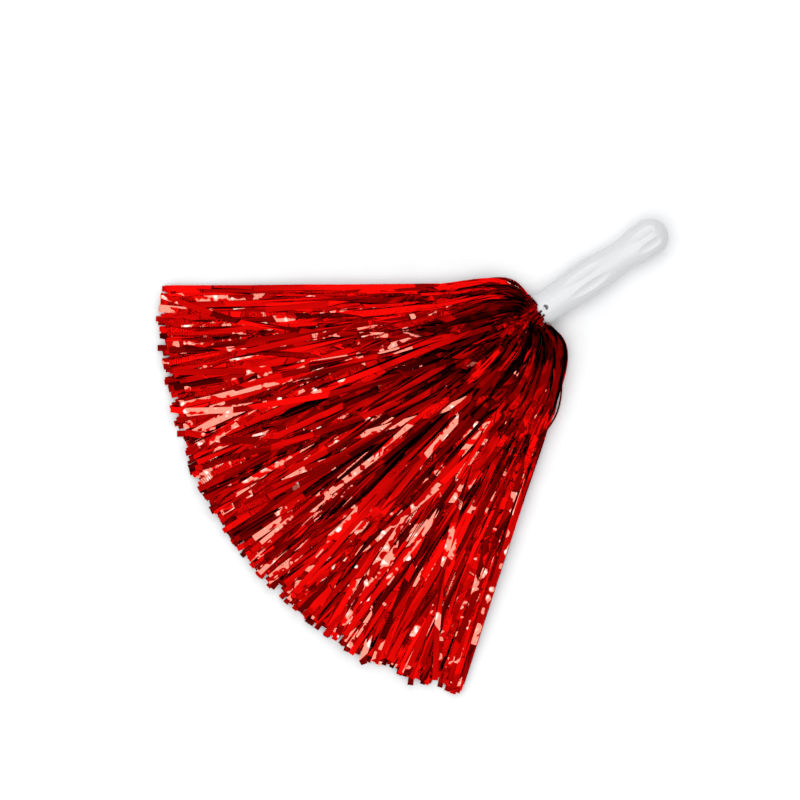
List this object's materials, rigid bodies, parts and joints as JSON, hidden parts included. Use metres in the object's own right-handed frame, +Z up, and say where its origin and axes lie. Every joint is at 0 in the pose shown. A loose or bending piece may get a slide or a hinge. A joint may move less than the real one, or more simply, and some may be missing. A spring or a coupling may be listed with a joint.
{
  "type": "cheer pom pom",
  "caption": "Baton-handle cheer pom pom: a fluted moulded hand grip with long metallic foil streamers that fan out of its mouth.",
  "frame": {"origin": "on the table, below the middle of the whole object's box, as it lies flat", "axes": "+X along the handle from the foil towards the pommel, +Z up from the table"},
  "size_m": [0.3711, 0.3512, 0.038],
  "materials": {
    "grip_plastic": "glossy moulded white plastic",
    "plug_plastic": "moulded off-white plastic",
    "foil": "red metallised plastic film, creased",
    "tape": "packing tape",
    "tie_plastic": "black nylon"
  },
  "bodies": {
    "grip": {"handle": "grip_plastic", "snap_plug": "plug_plastic", "header_band": "foil", "tape_wrap": "tape", "cable_tie": "tie_plastic", "foil_crown": "foil"},
    "tongue_top": {"snap_tongue_top": "plug_plastic"},
    "tongue_bottom": {"snap_tongue_bottom": "plug_plastic"},
    "root_1": {"streamer_root_1": "foil"},
    "tuft_1": {"streamer_tuft_1": "foil"},
    "root_2": {"streamer_root_2": "foil"},
    "tuft_2": {"streamer_tuft_2": "foil"},
    "root_3": {"streamer_root_3": "foil"},
    "tuft_3": {"streamer_tuft_3": "foil"},
    "root_4": {"streamer_root_4": "foil"},
    "tuft_4": {"streamer_tuft_4": "foil"},
    "root_5": {"streamer_root_5": "foil"},
    "tuft_5": {"streamer_tuft_5": "foil"},
    "root_6": {"streamer_root_6": "foil"},
    "tuft_6": {"streamer_tuft_6": "foil"},
    "root_7": {"streamer_root_7": "foil"},
    "tuft_7": {"streamer_tuft_7": "foil"},
    "root_8": {"streamer_root_8": "foil"},
    "tuft_8": {"streamer_tuft_8": "foil"}
  },
  "joints": [
    {"name": "tongue_top_flex", "type": "hinge", "parent": "grip", "child": "tongue_top", "pos_m": [0.0755, 0.01602, 0.02125], "axis": [0, 1, 0], "range_deg": [0, 18], "stiffness_Nm_per_rad": 0.2},
    {"name": "tongue_bottom_flex", "type": "hinge", "parent": "grip", "child": "tongue_bottom", "pos_m": [0.0755, 0.01602, 0.00535], "axis": [0, -1, 0], "range_deg": [0, 18], "stiffness_Nm_per_rad": 0.2},
    {"name": "fan_sway_1", "type": "hinge", "parent": "grip", "child": "root_1", "pos_m": [0.03507, 0.05818, 0], "axis": [0, 0, 1], "range_deg": [-10.51, 2.81]},
    {"name": "fan_sway_2", "type": "hinge", "parent": "grip", "child": "root_2", "pos_m": [0.02867, 0.0442, 0], "axis": [0, 0, 1], "range_deg": [-7.51, 2.01]},
    {"name": "fan_sway_3", "type": "hinge", "parent": "grip", "child": "root_3", "pos_m": [0.02453, 0.02938, 0], "axis": [0, 0, 1], "range_deg": [-4.51, 1.21]},
    {"name": "fan_sway_4", "type": "hinge", "parent": "grip", "child": "root_4", "pos_m": [0.02277, 0.01411, 0], "axis": [0, 0, 1], "range_deg": [-1.51, 0.41]},
    {"name": "fan_sway_5", "type": "hinge", "parent": "grip", "child": "root_5", "pos_m": [0.02341, -0.00126, 0], "axis": [0, 0, 1], "range_deg": [-0.41, 1.51]},
    {"name": "fan_sway_6", "type": "hinge", "parent": "grip", "child": "root_6", "pos_m": [0.02645, -0.01633, 0], "axis": [0, 0, 1], "range_deg": [-1.21, 4.51]},
    {"name": "fan_sway_7", "type": "hinge", "parent": "grip", "child": "root_7", "pos_m": [0.03181, -0.03074, 0], "axis": [0, 0, 1], "range_deg": [-2.01, 7.51]},
    {"name": "fan_sway_8", "type": "hinge", "parent": "grip", "child": "root_8", "pos_m": [0.03936, -0.04414, 0], "axis": [0, 0, 1], "range_deg": [-2.8, 10.5]},
    {"name": "tuft_lift_1", "type": "hinge", "parent": "root_1", "child": "tuft_1", "pos_m": [0.00973, 0.07228, 0.0135], "axis": [0.4863, 0.8738, 0], "range_deg": [-40, 40]},
    {"name": "tuft_lift_2", "type": "hinge", "parent": "root_2", "child": "tuft_2", "pos_m": [0.00144, 0.05416, 0.0135], "axis": [0.3437, 0.9391, 0], "range_deg": [-40, 40]},
    {"name": "tuft_lift_3", "type": "hinge", "parent": "root_3", "child": "tuft_3", "pos_m": [-0.00392, 0.03497, 0.0135], "axis": [0.1925, 0.9813, 0], "range_deg": [-40, 40]},
    {"name": "tuft_lift_4", "type": "hinge", "parent": "root_4", "child": "tuft_4", "pos_m": [-0.00621, 0.01517, 0.0135], "axis": [0.0366, 0.9993, 0], "range_deg": [-40, 40]},
    {"name": "tuft_lift_5", "type": "hinge", "parent": "root_5", "child": "tuft_5", "pos_m": [-0.00538, -0.00474, 0.0135], "axis": [-0.1201, 0.9928, 0], "range_deg": [-40, 40]},
    {"name": "tuft_lift_6", "type": "hinge", "parent": "root_6", "child": "tuft_6", "pos_m": [-0.00144, -0.02428, 0.0135], "axis": [-0.274, 0.9617, 0], "range_deg": [-40, 40]},
    {"name": "tuft_lift_7", "type": "hinge", "parent": "root_7", "child": "tuft_7", "pos_m": [0.00551, -0.04295, 0.0135], "axis": [-0.421, 0.907, 0], "range_deg": [-40, 40]},
    {"name": "tuft_lift_8", "type": "hinge", "parent": "root_8", "child": "tuft_8", "pos_m": [0.01529, -0.06032, 0.0135], "axis": [-0.5577, 0.83, 0], "range_deg": [-40, 40]}
  ],
  "couplings": [
    {"joint": "fan_sway_1", "follows": "fan_sway_8", "ratio": -1},
    {"joint": "fan_sway_2", "follows": "fan_sway_8", "ratio": -0.71429},
    {"joint": "fan_sway_3", "follows": "fan_sway_8", "ratio": -0.42857},
    {"joint": "fan_sway_4", "follows": "fan_sway_8", "ratio": -0.14286},
    {"joint": "fan_sway_5", "follows": "fan_sway_8", "ratio": 0.14286},
    {"joint": "fan_sway_6", "follows": "fan_sway_8", "ratio": 0.42857},
    {"joint": "fan_sway_7", "follows": "fan_sway_8", "ratio": 0.71429}
  ]
}
